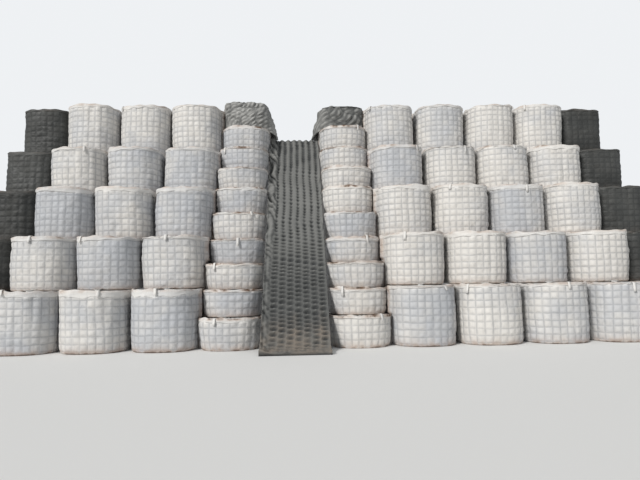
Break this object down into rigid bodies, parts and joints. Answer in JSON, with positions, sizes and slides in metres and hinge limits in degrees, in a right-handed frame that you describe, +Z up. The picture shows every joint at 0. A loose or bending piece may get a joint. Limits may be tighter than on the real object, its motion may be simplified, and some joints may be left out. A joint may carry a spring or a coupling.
{
  "type": "sandbag retaining wall",
  "caption": "Stepped retaining wall of large soil-filled bags, in two wings either side of a mat-lined drainage chute.",
  "frame": {"origin": "on the ground under the middle of the flat toe of the chute lining, on the chute's centreline, 0.44 m in front of the lowest course of bags", "axes": "+X along the wall to the viewer's right, +Y back into the slope, +Z up"},
  "size_m": [13.1172, 4.5718, 5.065],
  "materials": {
    "white_bag_fabric": "woven, dusty",
    "dark_bag_fabric": "woven, dusty",
    "quilted_mat": "quilted, matt"
  },
  "bodies": {
    "root": {"chute_lining": "quilted_mat", "left_crest_cover": "quilted_mat", "left_end_bag_1": "dark_bag_fabric", "left_end_bag_2": "dark_bag_fabric", "left_end_bag_3": "dark_bag_fabric", "left_end_bag_4": "dark_bag_fabric", "left_end_bag_5": "dark_bag_fabric", "left_half_bag_1": "white_bag_fabric", "left_half_bag_10": "white_bag_fabric", "left_half_bag_2": "white_bag_fabric", "left_half_bag_3": "white_bag_fabric", "left_half_bag_4": "white_bag_fabric", "left_half_bag_5": "white_bag_fabric", "left_half_bag_6": "white_bag_fabric", "left_half_bag_7": "white_bag_fabric", "left_half_bag_8": "white_bag_fabric", "left_half_bag_9": "white_bag_fabric", "left_wing_course_1": "white_bag_fabric", "left_wing_course_2": "white_bag_fabric", "left_wing_course_3": "white_bag_fabric", "left_wing_course_4": "white_bag_fabric", "left_wing_course_5": "white_bag_fabric", "right_crest_cover": "quilted_mat", "right_end_bag_1": "dark_bag_fabric", "right_end_bag_2": "dark_bag_fabric", "right_end_bag_3": "dark_bag_fabric", "right_end_bag_4": "dark_bag_fabric", "right_end_bag_5": "dark_bag_fabric", "right_half_bag_1": "white_bag_fabric", "right_half_bag_10": "white_bag_fabric", "right_half_bag_2": "white_bag_fabric", "right_half_bag_3": "white_bag_fabric", "right_half_bag_4": "white_bag_fabric", "right_half_bag_5": "white_bag_fabric", "right_half_bag_6": "white_bag_fabric", "right_half_bag_7": "white_bag_fabric", "right_half_bag_8": "white_bag_fabric", "right_half_bag_9": "white_bag_fabric", "right_wing_course_1": "white_bag_fabric", "right_wing_course_2": "white_bag_fabric", "right_wing_course_3": "white_bag_fabric", "right_wing_course_4": "white_bag_fabric", "right_wing_course_5": "white_bag_fabric"}
  },
  "joints": []
}
